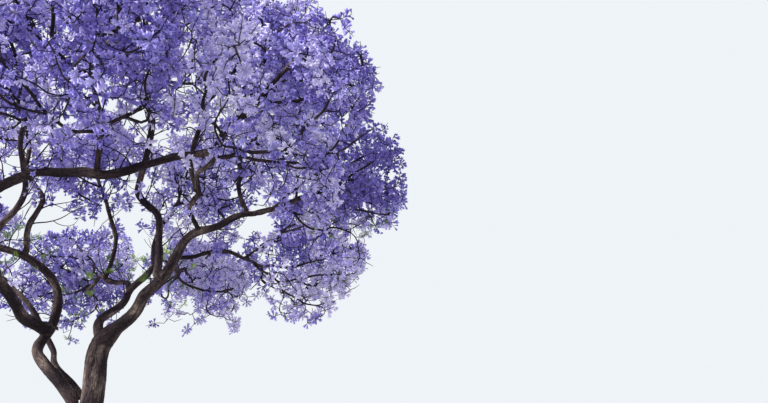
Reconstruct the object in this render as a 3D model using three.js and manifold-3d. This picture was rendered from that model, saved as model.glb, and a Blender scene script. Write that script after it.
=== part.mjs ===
// A jacaranda in full flower: a short trunk that forks low, bare winding boughs, and a wide,
// open crown of blossom carried on their tips.
// Millimetres. +Z is up. The origin is the middle of the flat cut under the trunk.
// +X is the side that spreads over a road, and +Y runs along that road.

import * as THREE from "three";
import { mergeVertices } from "three/addons/utils/BufferGeometryUtils.js";
import Module from "manifold-3d";

const wasm = await Module();
wasm.setup();

// Driving sizes of the trunk
const FORK_HEIGHT = 2900;
const TRUNK_RADIUS = 212;
const TRUNK_TOP_RADIUS = 190;
const TRUNK_CUT_BELOW = 60;
const FLARE_RADIUS = 360;
const FLARE_HEIGHT = 330;
const FLARE_LOBES = 5;
const FLARE_LOBE_DEPTH = 0.13;
const FLARE_LOBE_TURN = 0.6;
const TRUNK_SIDES = 18;
const TRUNK_RINGS = 10;

// Driving sizes of the crown, as rings of blossom masses about the trunk's axis. radii: a mass's
// half sizes outward, along the ring and up, before it tilts so that its outer edge droops.
// droop: how much lower the ring lies on the far side, +Y, and higher on the near side.
const CROWN_TIERS = [
  {
    name: "skirt",
    count: 9,
    reach: 4230,
    height: 5750,
    heightSpread: 240,
    droop: 940,
    radii: [1350, 1750, 1650],
    tilt: 30,
    turn: 0,
  },
  {
    name: "shoulder",
    count: 7,
    reach: 2850,
    height: 7650,
    heightSpread: 300,
    droop: 760,
    radii: [1600, 1600, 1480],
    tilt: 34,
    turn: 20,
  },
  {
    name: "top",
    count: 4,
    reach: 1380,
    height: 9480,
    heightSpread: 220,
    droop: 160,
    radii: [1600, 1500, 1100],
    tilt: 20,
    turn: 50,
  },
];
const REACH_SPREAD = 0.06;
const MASS_SIZE_SPREAD = 0.1;
const MASS_UNEVENNESS = 0.2;
const LUMP_WAVES = 3;
const LUMP_PITCH = 2.1;
const MASS_GAP = 80;
const MASS_DETAIL = 3;

// Boughs
const BOUGH_TIP_RADIUS = 38;
const TAPER = 0.85;
const THICK_BOUGH = 110;
const THICK_SIDES = 8;
const THIN_SIDES = 6;
const RING_STEP = 640;
const FEWEST_RINGS = 5;
const BEND_STEP = 560;
const SWAY = 170;
const RISING_SWAY = 100;
const SWAY_PITCH = 2.5;
const RISING_PITCH = 3.25;
const ARCH = 0.14;
const MASS_ENTRY = 0.55;
const ENTRY_SLOPE = 1.6;

// Clearance that touching solids keep
const CLEARANCE = 0.4;

// Points of a mesh nearer than this are one point
const SAME_POINT = 0.01;

// Which of an item's own chances sets what
const KIND = { reach: 2, height: 3, winding: 4, size: 5, lumps: 10 };

// The sizes and bends of each bough. foot: its radius where it leaves its parent. from: that
// parent, and how far along it, from 0 to 1. to: the blossom mass that it ends in. tip: its radius
// there, where it isn't the usual one. ringStep: the spacing of its rings, likewise. bends: points
// that it winds through; a bough without them winds in even curves of its own.
const BOUGHS = [
  {
    name: "bough_right",
    foot: 140,
    ringStep: 290,
    from: ["trunk", 1],
    to: "skirt_1",
    bends: [
      [280, -50, 3150],
      [460, -100, 3257],
      [618, -150, 3403],
      [719, -200, 3579],
      [872, -300, 3791],
      [950, -330, 3934],
      [1160, -380, 4125],
      [1340, -420, 4290],
      [1425, -455, 4490],
      [1513, -500, 4721],
      [1640, -500, 4845],
      [1870, -500, 4966],
      [2160, -450, 5120],
      [2750, -300, 5370],
    ],
  },
  {
    name: "bough_back",
    foot: 98,
    from: ["trunk", 0.985],
    to: "skirt_3",
    bends: [
      [-125, 130, 3330],
      [-20, 380, 3590],
      [120, 760, 3760],
      [240, 1080, 4320],
      [520, 1420, 4800],
      [560, 2180, 4960],
    ],
  },
  {
    name: "bough_left",
    foot: 128,
    from: ["trunk", 0.47],
    to: "skirt_6",
    bends: [
      [-240, 0, 1890],
      [-825, 100, 2376],
      [-1150, 220, 2720],
      [-1120, 300, 3080],
      [-930, 300, 3560],
      [-1030, 250, 4150],
      [-1620, -60, 4560],
      [-2350, -560, 4720],
    ],
  },
  {
    name: "bough_back_left",
    foot: 74,
    from: ["trunk", 0.58],
    to: "skirt_5",
    bends: [
      [-360, 150, 2205],
      [-733, 330, 2435],
      [-1250, 760, 3080],
      [-1800, 930, 3850],
      [-2450, 1010, 4300],
    ],
  },
  {
    name: "riser",
    foot: 80,
    from: ["bough_right", 0.33],
    to: "top_3",
    bends: [
      [1054, -250, 4420],
      [940, -200, 4860],
      [893, -200, 5290],
      [620, -420, 5520],
      [526, -560, 5980],
      [720, -420, 6650],
      [560, -480, 7500],
    ],
  },
  {
    name: "bough_near_right",
    foot: 58,
    from: ["bough_right", 0.62],
    to: "skirt_9",
    bends: [
      [1550, -620, 5160],
      [1640, -900, 5330],
      [1860, -1300, 5360],
      [1950, -1900, 5560],
    ],
  },
  {
    name: "bough_near_left",
    foot: 112,
    tip: 50,
    from: ["bough_left", 0.36],
    to: "skirt_7",
    bends: [
      [-1330, -450, 3450],
      [-1250, -1250, 3900],
      [-1400, -2150, 4350],
    ],
  },
  {
    name: "bough_front",
    foot: 104,
    tip: 60,
    ringStep: 340,
    from: ["bough_near_left", 0.42],
    to: "skirt_9",
    bends: [
      [-1480, -1800, 4480],
      [-1400, -2150, 4900],
      [-1071, -2200, 5195],
      [-733, -2200, 5344],
      [-349, -2200, 5520],
      [-60, -2200, 5430],
      [250, -2200, 5363],
      [736, -2200, 5442],
      [1096, -2200, 5536],
      [1482, -2200, 5721],
      [1817, -2200, 5799],
      [2160, -2200, 5824],
    ],
  },
  { name: "bough_near", foot: 54, from: ["bough_front", 0.56], to: "skirt_8" },
  { name: "bough_far_right", foot: 56, from: ["bough_back", 0.62], to: "skirt_2" },
  { name: "bough_far_left", foot: 66, from: ["bough_back", 0.33], to: "skirt_4" },
  { name: "limb_right", foot: 50, from: ["bough_right", 0.8], to: "shoulder_1" },
  { name: "limb_far_right", foot: 56, from: ["bough_back", 0.5], to: "shoulder_2" },
  { name: "limb_far_left", foot: 50, from: ["bough_far_left", 0.4], to: "shoulder_3" },
  { name: "limb_left", foot: 60, from: ["bough_left", 0.62], to: "shoulder_4" },
  { name: "limb_near_left", foot: 56, from: ["bough_near_left", 0.45], to: "shoulder_5" },
  { name: "limb_near", foot: 50, from: ["riser", 0.56], to: "shoulder_6" },
  { name: "limb_near_right", foot: 46, from: ["bough_near_right", 0.45], to: "shoulder_7" },
  { name: "limb_top_far", foot: 50, from: ["riser", 0.66], to: "top_1" },
  { name: "limb_top_left", foot: 47, from: ["riser", 0.74], to: "top_2" },
  { name: "limb_top_right", foot: 45, from: ["riser", 0.8], to: "top_4" },
];

// Finishes
const BARK = new THREE.MeshStandardMaterial({ color: 0x6a5148, roughness: 0.95, metalness: 0 });
const BLOSSOM = new THREE.MeshStandardMaterial({ color: 0x8d7be0, roughness: 0.9, metalness: 0 });

// An even spread of values from 0 to 1, the same for the same two numbers.
function chance(index, kind) {
  const mixed = Math.sin(index * 127.1 + kind * 311.7) * 43758.5453;
  return mixed - Math.floor(mixed);
}

// A value from -size to size, likewise.
function spread(index, kind, size) {
  return size * (2 * chance(index, kind) - 1);
}

// Solids

function solidOf(geometry) {
  const bare = geometry.clone();
  bare.deleteAttribute("normal");
  bare.deleteAttribute("uv");
  const merged = mergeVertices(bare, SAME_POINT);
  return new wasm.Manifold(
    new wasm.Mesh({
      numProp: 3,
      vertProperties: merged.attributes.position.array,
      triVerts: new Uint32Array(merged.index.array),
    }),
  );
}

function meshOf(name, solid, material) {
  const made = solid.getMesh();
  const geometry = new THREE.BufferGeometry();
  geometry.setAttribute("position", new THREE.BufferAttribute(made.vertProperties, 3));
  geometry.setIndex(new THREE.BufferAttribute(made.triVerts, 1));
  geometry.computeVertexNormals();
  const mesh = new THREE.Mesh(geometry, material);
  mesh.name = name;
  return mesh;
}

function largestPiece(solid) {
  return solid.decompose().reduce((best, piece) => (piece.volume() > best.volume() ? piece : best));
}

// A cylinder bent along a route, with a radius that may change with the distance and the angle.
function limbSolid(route, radiusAt, sides, rings, grow = 0) {
  const geometry = new THREE.CylinderGeometry(1, 1, 1, sides, rings);
  const frames = route.computeFrenetFrames(rings, false);
  const places = geometry.attributes.position;
  const point = new THREE.Vector3();
  for (let i = 0; i < places.count; i++) {
    const [x, y, z] = [places.getX(i), places.getY(i), places.getZ(i)];
    const share = y + 0.5;
    const ring = Math.round(share * rings);
    const radius = radiusAt(share, Math.atan2(z, x)) + grow;
    point.copy(route.getPointAt(share));
    point.addScaledVector(frames.normals[ring], -x * radius);
    point.addScaledVector(frames.binormals[ring], z * radius);
    if (ring === 0) point.addScaledVector(frames.tangents[0], -grow);
    if (ring === rings) point.addScaledVector(frames.tangents[rings], grow);
    places.setXYZ(i, point.x, point.y, point.z);
  }
  return solidOf(geometry);
}

// Trunk

function trunkRoute() {
  return new THREE.CatmullRomCurve3([
    new THREE.Vector3(-4, 0, -TRUNK_CUT_BELOW),
    new THREE.Vector3(-18, 8, 700),
    new THREE.Vector3(8, 6, 1400),
    new THREE.Vector3(38, 0, 2150),
    new THREE.Vector3(12, 0, 2560),
    new THREE.Vector3(28, 0, FORK_HEIGHT),
  ]);
}

function trunkRadius(share, angle) {
  const height = share * (FORK_HEIGHT + TRUNK_CUT_BELOW) - TRUNK_CUT_BELOW;
  const flare = Math.exp(-height / FLARE_HEIGHT);
  const lobes = 1 + FLARE_LOBE_DEPTH * flare * Math.cos(FLARE_LOBES * angle + FLARE_LOBE_TURN);
  const tapering = TRUNK_RADIUS + (TRUNK_TOP_RADIUS - TRUNK_RADIUS) * share;
  return (tapering + (FLARE_RADIUS - TRUNK_RADIUS) * flare) * lobes;
}

// The leaning trunk starts a little low and is cut flat at ground level.
function trunkSolid(grow = 0) {
  const leaning = limbSolid(trunkRoute(), trunkRadius, TRUNK_SIDES, TRUNK_RINGS, grow);
  return leaning.trimByPlane([0, 0, 1], 0);
}

// Blossom masses

// Where each mass of the crown lies, how far it reaches each way and which way it leans.
function crownMasses() {
  const masses = [];
  for (const tier of CROWN_TIERS) {
    for (let i = 0; i < tier.count; i++) {
      const index = masses.length + 1;
      const turn = THREE.MathUtils.degToRad(tier.turn + (360 * i) / tier.count);
      const reach = tier.reach * (1 + spread(index, KIND.reach, REACH_SPREAD));
      const rise = spread(index, KIND.height, tier.heightSpread) - tier.droop * Math.sin(turn);
      masses.push({
        name: tier.name + "_" + (i + 1),
        index,
        centre: new THREE.Vector3(reach * Math.cos(turn), reach * Math.sin(turn), tier.height + rise),
        radii: tier.radii.map(
          (radius, way) => radius * (1 + spread(index, KIND.size + way, MASS_SIZE_SPREAD)),
        ),
        lean: new THREE.Quaternion()
          .setFromAxisAngle(new THREE.Vector3(0, 0, 1), turn)
          .multiply(
            new THREE.Quaternion().setFromAxisAngle(
              new THREE.Vector3(0, 1, 0),
              THREE.MathUtils.degToRad(tier.tilt),
            ),
          ),
      });
    }
  }
  return masses;
}

// Lumps on a mass: waves round it, each way, with their own start for each mass.
function lumps(way, index) {
  let sum = 0;
  for (let wave = 1; wave <= LUMP_WAVES; wave++) {
    const pitch = LUMP_PITCH * wave;
    const start = 2 * Math.PI * chance(index, KIND.lumps + wave);
    sum += (Math.sin(pitch * way.x + start) * Math.cos(pitch * way.y - start)) / wave;
    sum += (Math.sin(pitch * way.z - 2 * start) * Math.cos(pitch * way.x + start)) / wave;
  }
  return sum / 2;
}

// How far a mass reaches from its centre along a direction: its own lumpy shape, cut off
// half-way to each neighbour so that a gap stays between them.
function massReach(mass, direction, masses) {
  const local = direction.clone().applyQuaternion(mass.lean.clone().invert());
  const [a, b, c] = mass.radii;
  const smooth = 1 / Math.hypot(local.x / a, local.y / b, local.z / c);
  let reach = smooth * (1 + MASS_UNEVENNESS * lumps(direction, mass.index));
  for (const other of masses) {
    if (other === mass) continue;
    const apart = other.centre.clone().sub(mass.centre);
    const distance = apart.length();
    const toward = apart.divideScalar(distance).dot(direction);
    if (toward <= 0) continue;
    const share = mass.radii[0] / (mass.radii[0] + other.radii[0]);
    reach = Math.min(reach, (distance * share - MASS_GAP / 2) / toward);
  }
  return reach;
}

function massSolid(mass, masses, grow = 0) {
  const geometry = new THREE.IcosahedronGeometry(1, MASS_DETAIL);
  const places = geometry.attributes.position;
  const direction = new THREE.Vector3();
  for (let i = 0; i < places.count; i++) {
    direction.fromBufferAttribute(places, i).normalize();
    const place = mass.centre.clone().addScaledVector(direction, massReach(mass, direction, masses) + grow);
    places.setXYZ(i, place.x, place.y, place.z);
  }
  return solidOf(geometry);
}

// Boughs

// Bends for a bough that has none of its own: it winds to and fro about an arch that leaves the
// straight line upwards.
function windingBends(start, end, index) {
  const across = end.clone().sub(start);
  const side = new THREE.Vector3(-across.y, across.x, 0).normalize();
  const above = side.clone().cross(across).normalize();
  if (above.z < 0) above.negate();
  const count = Math.max(2, Math.round(across.length() / BEND_STEP));
  const bends = [];
  for (let i = 1; i < count; i++) {
    const share = i / count;
    const phase = 2 * Math.PI * chance(index, KIND.winding);
    const bend = start.clone().addScaledVector(across, share);
    bend.addScaledVector(side, SWAY * Math.sin(phase + SWAY_PITCH * i));
    bend.addScaledVector(above, RISING_SWAY * Math.cos(phase + RISING_PITCH * i));
    bend.addScaledVector(above, ARCH * across.length() * Math.sin(Math.PI * share));
    bends.push(bend);
  }
  return bends;
}

function boughRoute(bough, index, routes, masses) {
  const [parent, share] = bough.from;
  const start = routes[parent].getPointAt(share);
  const mass = masses.find((each) => each.name === bough.to);
  const axisPoint = new THREE.Vector3(0, 0, mass.centre.z - ENTRY_SLOPE * mass.radii[2]);
  const inward = axisPoint.sub(mass.centre).normalize();
  const end = mass.centre.clone().addScaledVector(inward, MASS_ENTRY * massReach(mass, inward, masses));
  const bends = bough.bends
    ? bough.bends.map((bend) => new THREE.Vector3(...bend))
    : windingBends(start, end, index);
  return new THREE.CatmullRomCurve3([start, ...bends, end], false, "centripetal");
}

function boughSolid(bough, route, grow = 0) {
  const rings = Math.max(FEWEST_RINGS, Math.round(route.getLength() / (bough.ringStep ?? RING_STEP)));
  const tip = bough.tip ?? BOUGH_TIP_RADIUS;
  const radiusAt = (share) => bough.foot - (bough.foot - tip) * Math.pow(share, TAPER);
  const sides = bough.foot > THICK_BOUGH ? THICK_SIDES : THIN_SIDES;
  return limbSolid(route, radiusAt, sides, rings, grow);
}

// The tree

function tree() {
  const masses = crownMasses();
  const routes = { trunk: trunkRoute() };
  const group = new THREE.Group();
  group.name = "jacaranda_tree";
  group.add(meshOf("trunk", trunkSolid(), BARK));

  const grownMass = {};
  for (const mass of masses) {
    group.add(meshOf("blossom_" + mass.name, massSolid(mass, masses), BLOSSOM));
    grownMass[mass.name] = massSolid(mass, masses, CLEARANCE);
  }

  // Each bough is cut clear of its parent, of the boughs that left that parent before it, and
  // of the mass that it ends in.
  const grownLimb = { trunk: trunkSolid(CLEARANCE) };
  BOUGHS.forEach((bough, index) => {
    const route = boughRoute(bough, index, routes, masses);
    const [parent] = bough.from;
    const siblings = BOUGHS.slice(0, index).filter((other) => other.from[0] === parent);
    let solid = boughSolid(bough, route).subtract(grownLimb[parent]);
    for (const sibling of siblings) solid = solid.subtract(grownLimb[sibling.name]);
    solid = largestPiece(solid.subtract(grownMass[bough.to]));
    routes[bough.name] = route;
    grownLimb[bough.name] = boughSolid(bough, route, CLEARANCE);
    group.add(meshOf(bough.name, solid, BARK));
  });
  return group;
}

export default tree();
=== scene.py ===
# A jacaranda in full flower, at its real size.
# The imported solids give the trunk, the boughs and the masses of the crown. Their surfaces are read
# back as centre lines and outlines, and the bark, branches, twigs, blossom, young leaves and pods
# grow from those by seeded rules. Metres, +Z up, origin in the flat cut under the trunk.

import math

import bmesh
import bpy
import numpy as np
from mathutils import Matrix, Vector, noise
from mathutils.bvhtree import BVHTree


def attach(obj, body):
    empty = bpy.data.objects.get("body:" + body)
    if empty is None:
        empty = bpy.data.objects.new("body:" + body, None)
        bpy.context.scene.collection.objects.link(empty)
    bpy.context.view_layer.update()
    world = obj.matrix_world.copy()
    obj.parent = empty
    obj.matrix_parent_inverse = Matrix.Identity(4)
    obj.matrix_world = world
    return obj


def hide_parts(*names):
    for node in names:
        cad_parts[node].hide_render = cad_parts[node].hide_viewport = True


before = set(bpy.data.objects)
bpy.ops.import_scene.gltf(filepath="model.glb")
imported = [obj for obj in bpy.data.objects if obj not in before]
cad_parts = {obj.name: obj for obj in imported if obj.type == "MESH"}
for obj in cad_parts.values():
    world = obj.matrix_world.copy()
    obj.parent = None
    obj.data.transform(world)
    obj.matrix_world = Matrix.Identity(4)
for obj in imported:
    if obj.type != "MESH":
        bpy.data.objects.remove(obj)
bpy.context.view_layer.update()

SEED = 7
BODY = "root"
PIECE_TRIANGLES = 195000
TINY = 1e-9
# Three places apart in the noise, one for each axis of a direction
NOISE_SHIFTS = [(9.3, -1.5, -7.9), (0.4, 5.1, 3.7), (-6.2, 12.7, 1.1)]

# Camera: its place, how far it looks up and to the right, in degrees, and its lens in mm
EYE = (4.6, -12.6, 1.6)
LOOK_UP = 18.2
LOOK_RIGHT = 2.9
SENSOR_WIDTH = 36.0
LENS = 31.17

# Light and stage
SKY_COLOUR = (0.86, 0.90, 0.94)
SKY_STRENGTH = 1.0
SUN_COLOUR = (1.0, 0.97, 0.94)
SUN_STRENGTH = 4.6
SUN_SOFTNESS = 6.0
SUN_FROM = (-0.78, -0.40, 0.48)
SIDE_STRENGTH = 2.3
SIDE_SOFTNESS = 24.0
SIDE_FROM = (-0.93, -0.30, 0.12)
FLOOR_RADIUS = 160.0
FLOOR_SIDES = 96
FLOOR_COLOUR = (0.40, 0.40, 0.40)

# Reading the limbs: step and rays of the walk along a solid, and how its line is then smoothed
MERGE_DISTANCE = 1e-4
TOUCHING = 0.002
WALK_STEP = 0.035
WALK_RAYS = 12
WALK_REACH = 1.2
FEWEST_HITS = 8
CENTRING_ROUNDS = 2
MOST_STEPS = 400
FACET_LOSS = 1.04
TIP_STEP = 0.012
FAN_RAYS = 400
FAN_LEAST = -0.1
GOLDEN_TURN = math.pi * (3 - math.sqrt(5))
LINE_SMOOTHING = 40
RADIUS_SMOOTHING = 30
FOOT_CLEARANCE = 0.9
# A bough's radii on the way into the limb that carries it, as shares of its first one, and the
# number of its own first point after those
FOOT_SHARES = (0.8, 0.95)
OWN_START = len(FOOT_SHARES)

# Wood: the rings of limbs, how the trunk leads into a bough, and how limbs join, sway and swell
RING_SPACING = 0.05
TRUNK_SIDES = 48
BOUGH_SIDES = 20
RUN_SIDES = 12
ROOT_DEPTH = 0.08
ROOT_SPREAD = 1.03
RIM_HEIGHT = 0.004
FLARE_LIMIT = 1.1
SEARCH_BATCH = 2000
COLLAR_SWELL = 0.34
COLLAR_LENGTH = 1.8
JOINT_RING = -3
LEADER_START = 0.10
LEADER_BLEND = 0.45
LEADER_OVERLAP = 1.4
LEADER_INSET = 0.97
LEADER_SMOOTHING = 10
FORK_ROUNDS = 10
FORK_REACH = 1.7
FORK_SOFTNESS = 0.5
TRUNK_REACH = 0.62
TRUNK_SMOOTHING = 0.3
WOOD_TRIANGLES = 180000
LIMB_SWAY = 0.25
LEAST_SWAY = 0.022
SWAY_PITCH = 1.9
SWAY_FADE = 0.5
KINK = 0.030
KINK_SPACING = 0.42
KINK_UNEVENNESS = 0.3
KINK_SMOOTHING = 2
KNOTS = 0.16
KNOT_PITCH = 3.4
VOXEL = 0.0165
SKIN_LOSS = 0.0034
WOOD_SMOOTHING = 5
HEAVY_RADIUS = 0.030
LEAST_RUN = 2

# Relief of the bark: its stretch along a limb, how far apart limbs lie in its noise, the least
# share of a limb's radius, and the pitch and depth of its swellings, ridges and plates
LIMB_STRETCH = 0.3
LIMB_OFFSET = 7.3
LEAST_SHARE = 0.5
SWELL_PITCH = 5.5
SWELL_DEPTH = 0.05
WARP_PITCH = 9.0
WARP_DEPTH = 0.02
RIDGE_PITCH = 21.0
RIDGE_DEPTH = 0.0075
RIDGE_SHARPNESS = 2.2
PLATE_PITCH = 47.0
PLATE_DEPTH = 0.0035
FULL_RELIEF_RADIUS = 0.2

# Crown: how many sprays of blossom, and where they gather
SPRAYS = 7130
MASS_REACH = 10.0
BULK_RAYS = 160
SHELL_POWER = 2.6
SHELL_DEPTH = 0.97
INNER_SHARE = 0.10
OPEN_HEIGHT = 2.2
OPEN_POWER = 1.6
DRIFT_PITCH = 0.75
FINE_DRIFT_PITCH = 2.1
FINE_DRIFT = 0.5
DRIFT_GAP = -0.16
BARE_SHARE = 0.07
LOW_BARE_SHARE = 0.35
BARE_REACH = 0.75

# Branching rule
GROWTH_ROUNDS = 120
GROWTH_STEP = 0.15
GROWTH_REACH = 1.1
NEAR_ENOUGH = 0.26
MOMENTUM = 0.55
WANDER = 0.75
WANDER_PITCH = 3.4
RISE = 0.13
MOST_CHILDREN = 3
TIP_POINTS = 8
TWIG_RADIUS = 0.0088
TWIG_SIDES = 3
LONG_TWIG = 0.2
TWIG_BEND = 0.35
BEND_PITCH = 6.0
BEND_SAG = 0.06
SPRAY_SWAY = 0.35
SPRAY_RISE = 0.35
SPRAY_DROOP = 0.12
SPRAY_REACH = 0.8
TIP_RADIUS = 0.0044
BRANCH_RADIUS = 0.0150
BRANCH_SIDES = 6
STOUT_BRANCH = 0.024
STOUT_SIDES = 8
LEADER_TAPER = 0.87

# Side shoots along the boughs
SHOOT_SPACING = 0.34
SHOOT_FIRST = 2
SHOOT_LOWEST = 3.8
SHOOT_SHARE = 0.8
SHOOT_STEP = 0.11
SHOOT_LENGTH = 0.95
SHOOT_LENGTHS = (0.5, 1.4)
LEAST_STEPS = 3
SHOOT_RADIUS = 0.017
SHOOT_RADIUS_SHARE = 0.5
SHOOT_LEAN = 0.5
SHOOT_BEND = 0.65
SHOOT_PITCH = 3.3
SHOOT_RISE = 0.10
SHOOT_FORKS = (0.35, 0.62)
FORK_SPREAD = 0.9
FORK_LENGTH = 0.55
FORK_RADIUS = 0.75
FLOWERING_LIFT = 0.4
FLOWERING_SHARE = 0.55
FLOWERING_RADIUS = 0.065

# Flowers and sprays
OPEN_FLOWERS = 6
BELLS = 6
SPRAY_KINDS = 12
SPRAY_LENGTH = 0.26
SPRAY_WIDTH = 0.10
SPRAY_TAPER = 0.6
SPRAY_SPREAD = (0.35, 1.1)
SPRAY_FOOT = 0.35
SPRAY_SIZES = (0.82, 1.18)
STALK_SHARE = 0.65
STALK_DROP = 0.4
OPEN_RUN = (0, 0.85)
BELL_RUN = (0.25, 1.1)
FLOWER_LENGTH = 0.085
BELL_LENGTH = 0.07
FLOWER_SIZES = (0.75, 1.15)
FLOWER_TURN = 2.4
TURN_CHANCE = 0.5
FLOWER_LIFT = 0.25
FLOWER_TILT = 0.45
FLOWER_THROAT = 0.36
FLOWER_SPREAD = 0.54
THROAT_HEIGHT = 0.62
LOBE_HEIGHT = 0.93
BELL_MOUTH = 0.30
LOBES = 5
# Directions steeper than this are turned about another axis
STEEP = 0.9

# Young leaves and pods
LEAF_PATCHES = 10
TUFTS_IN_PATCH = 7
LOW_SHARE = 0.2
LEAFY_SHOOTS = 36
LEAVES_IN_TUFT = 7
LEAF_LENGTH = 0.14
LEAF_SIZES = (0.7, 1.15)
LEAF_LIFT = 0.5
LEAF_DROOP = 0.15
STALK_WIDTH = 0.012
PINNA_PAIRS = 7
# Where the pairs start and how far they run, as shares of the leaf, and the part of an arch that
# their lengths follow
PINNA_RUN = (0.18, 0.8)
PINNA_ARCH = (0.22, 0.68)
PINNA_LENGTH = 0.30
PINNA_WIDTH = 0.045
PINNA_SWEEP = 0.45
PINNA_DROOP = 0.05
PODS = 240
POD_RADIUS = 0.034
POD_SIZES = (0.8, 1.15)
POD_TILT = 0.25
POD_SIDES = 10
POD_WIDTH = 0.94
POD_WAVE = 0.09
POD_BULGE = 0.2

# Plain colours. Each tint of the blossom: the flower's tube, then its spread lobes
TINTS = [
    ((0.176, 0.138, 0.500), (0.286, 0.244, 0.730)),
    ((0.292, 0.248, 0.690), (0.470, 0.428, 0.870)),
    ((0.430, 0.386, 0.810), (0.640, 0.600, 0.935)),
    ((0.560, 0.510, 0.875), (0.765, 0.730, 0.960)),
    ((0.665, 0.615, 0.910), (0.850, 0.832, 0.985)),
]
# The depth and pitch of the broad and the fine drifts of tint
TINT_DRIFTS = ((0.9, 0.55), (0.35, 1.9))
TINT_CHANCE = 0.55
# The roughness and sheen of each part of a flower
FLOWER_FINISH = {"tube": (0.55, 0.2), "lobe": (0.5, 0.3)}
TWIG_COLOURS = {"twig_dark": (0.021, 0.014, 0.036), "twig_brown": (0.042, 0.029, 0.046)}
TWIG_ROUGHNESS = 0.85
LEAF_COLOURS = {"young_leaf": (0.26, 0.40, 0.06), "leaf": (0.12, 0.23, 0.05)}
LEAF_ROUGHNESS = 0.5
POD_COLOUR = (0.050, 0.028, 0.018)
POD_ROUGHNESS = 0.7
# Petals are made to shine a little in their own colour: painted light that stands in for the light they
# let through, so that shaded ones keep some of their colour
PETAL_PAINTED_GLOW = 0.11

# Bark: the stops of its patches, mottle and cracks, the scale, detail and roughness of its noise,
# and its bumps
BARK_PATCHES = [(0.35, (0.018, 0.012, 0.017)), (0.48, (0.042, 0.029, 0.034)),
                (0.58, (0.118, 0.089, 0.084)), (0.71, (0.330, 0.270, 0.228))]
BARK_MOTTLE = [(0.32, (0.42, 0.40, 0.42)), (0.66, (1.45, 1.38, 1.3))]
BARK_CRACKS = [(0.0, (0.28, 0.26, 0.28)), (0.16, (1, 1, 1))]
CRACK_FACTOR = 0.8
PATCH_NOISE = (5.0, 5, 0.6)
GRAIN_NOISE = (60.0, 6, 0.7)
PLATE_SCALE = 26
BARK_ROUGHNESS = (0.78, 0.98)
BARK_GLOSS = 0.2
GRAIN_SHARE = 0.5
BUMP_STRENGTH = 0.55
BUMP_DISTANCE = 0.012

rng = np.random.default_rng(SEED)


# Small helpers

def unit(vectors):
    """Vectors, or one vector, at length 1."""
    return vectors / np.maximum(np.linalg.norm(vectors, axis=-1, keepdims=True), TINY)


def smoothed(values, rounds):
    """Values along a line, averaged with their neighbours, with both ends kept."""
    values = values.copy()
    for _ in range(rounds):
        values[1:-1] = 0.5 * values[1:-1] + 0.25 * (values[:-2] + values[2:])
    return values


def lengths_along(points):
    """How far along a line each of its points lies."""
    steps = np.linalg.norm(np.diff(points, axis=0), axis=1)
    return np.concatenate([[0.0], np.cumsum(steps)])


def read_at(places, along, columns):
    """Values known along a line, a column for each kind, read at other places along it."""
    return np.column_stack([np.interp(places, along, column) for column in columns.T])


def resampled(points, values, spacing):
    """The line again, with points and values at an even spacing."""
    along = lengths_along(points)
    count = max(2, int(round(along[-1] / spacing)) + 1)
    places = np.linspace(0, along[-1], count)
    return read_at(places, along, points), np.interp(places, along, values)


def frames_along(points):
    """For each point of a line: its direction, and two directions across it that don't twist."""
    ways = unit(np.gradient(points, axis=0))
    sides = np.empty_like(points)
    axis = np.eye(3)[np.argmin(np.abs(ways[0]))]
    side = np.cross(ways[0], axis)
    for i, way in enumerate(ways):
        side = side - way * (side @ way)
        side = side / max(np.linalg.norm(side), TINY)
        sides[i] = side
    return ways, sides, np.cross(ways, sides)


def even_turns(count):
    """The angles of this many points round a ring."""
    return 2 * np.pi * np.arange(count) / count


def ring_numbers(count):
    """The numbers of the points round a ring, and the number of the point after each."""
    ring = np.arange(count)
    return ring, (ring + 1) % count


def level_ring(radius, turns, height):
    """Points of a level circle at these angles."""
    return np.column_stack([radius * np.cos(turns), radius * np.sin(turns), np.full(len(turns), height)])


def tube(points, radii, sides, closed=True):
    """Vertices, triangles and bark places of a round tube along a line."""
    _, across, other = frames_along(points)
    turn = even_turns(sides)
    ring = np.cos(turn)[None, :, None] * across[:, None] + np.sin(turn)[None, :, None] * other[:, None]
    radii = np.asarray(radii, float).reshape(len(points), -1)
    vertices = points[:, None] + radii[:, :, None] * ring
    along = lengths_along(points)[:, None] * np.ones(sides)
    places = np.stack([radii * np.cos(turn), radii * np.sin(turn), along], axis=-1)
    return vertices.reshape(-1, 3), tube_faces(len(points), sides, closed), places.reshape(-1, 3)


def tube_faces(rings, sides, closed):
    """Triangles between the rings of a tube and, if it is closed, over its two ends."""
    i, j = np.meshgrid(np.arange(rings - 1), np.arange(sides), indexing="ij")
    a, b = i * sides + j, i * sides + (j + 1) % sides
    walls = np.stack([a, b, b + sides, a, b + sides, a + sides], axis=-1).reshape(-1, 3)
    if not closed:
        return walls
    fan = np.arange(1, sides - 1)
    foot = np.column_stack([np.zeros_like(fan), fan + 1, fan])
    tip = np.column_stack([np.zeros_like(fan), fan, fan + 1]) + (rings - 1) * sides
    return np.concatenate([walls, foot, tip])


def joined(parts):
    """Several (vertices, triangles, ...) as one, with the triangles renumbered."""
    shifts = np.cumsum([0] + [len(part[0]) for part in parts[:-1]])
    vertices, faces, *others = zip(*parts)
    triangles = np.concatenate([part + shift for part, shift in zip(faces, shifts)])
    return [np.concatenate(vertices), triangles] + [np.concatenate(column) for column in others]


def mesh_of(name, vertices, triangles, slots=None):
    """A mesh of triangles, with a material slot for each."""
    mesh = bpy.data.meshes.new(name)
    mesh.vertices.add(len(vertices))
    mesh.vertices.foreach_set("co", np.asarray(vertices, np.float32).ravel())
    mesh.loops.add(3 * len(triangles))
    mesh.loops.foreach_set("vertex_index", np.asarray(triangles, np.int32).ravel())
    mesh.polygons.add(len(triangles))
    mesh.polygons.foreach_set("loop_start", np.arange(0, 3 * len(triangles), 3, dtype=np.int32))
    if slots is not None:
        mesh.polygons.foreach_set("material_index", np.asarray(slots, np.int32))
    mesh.update(calc_edges=True)
    return mesh


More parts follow.
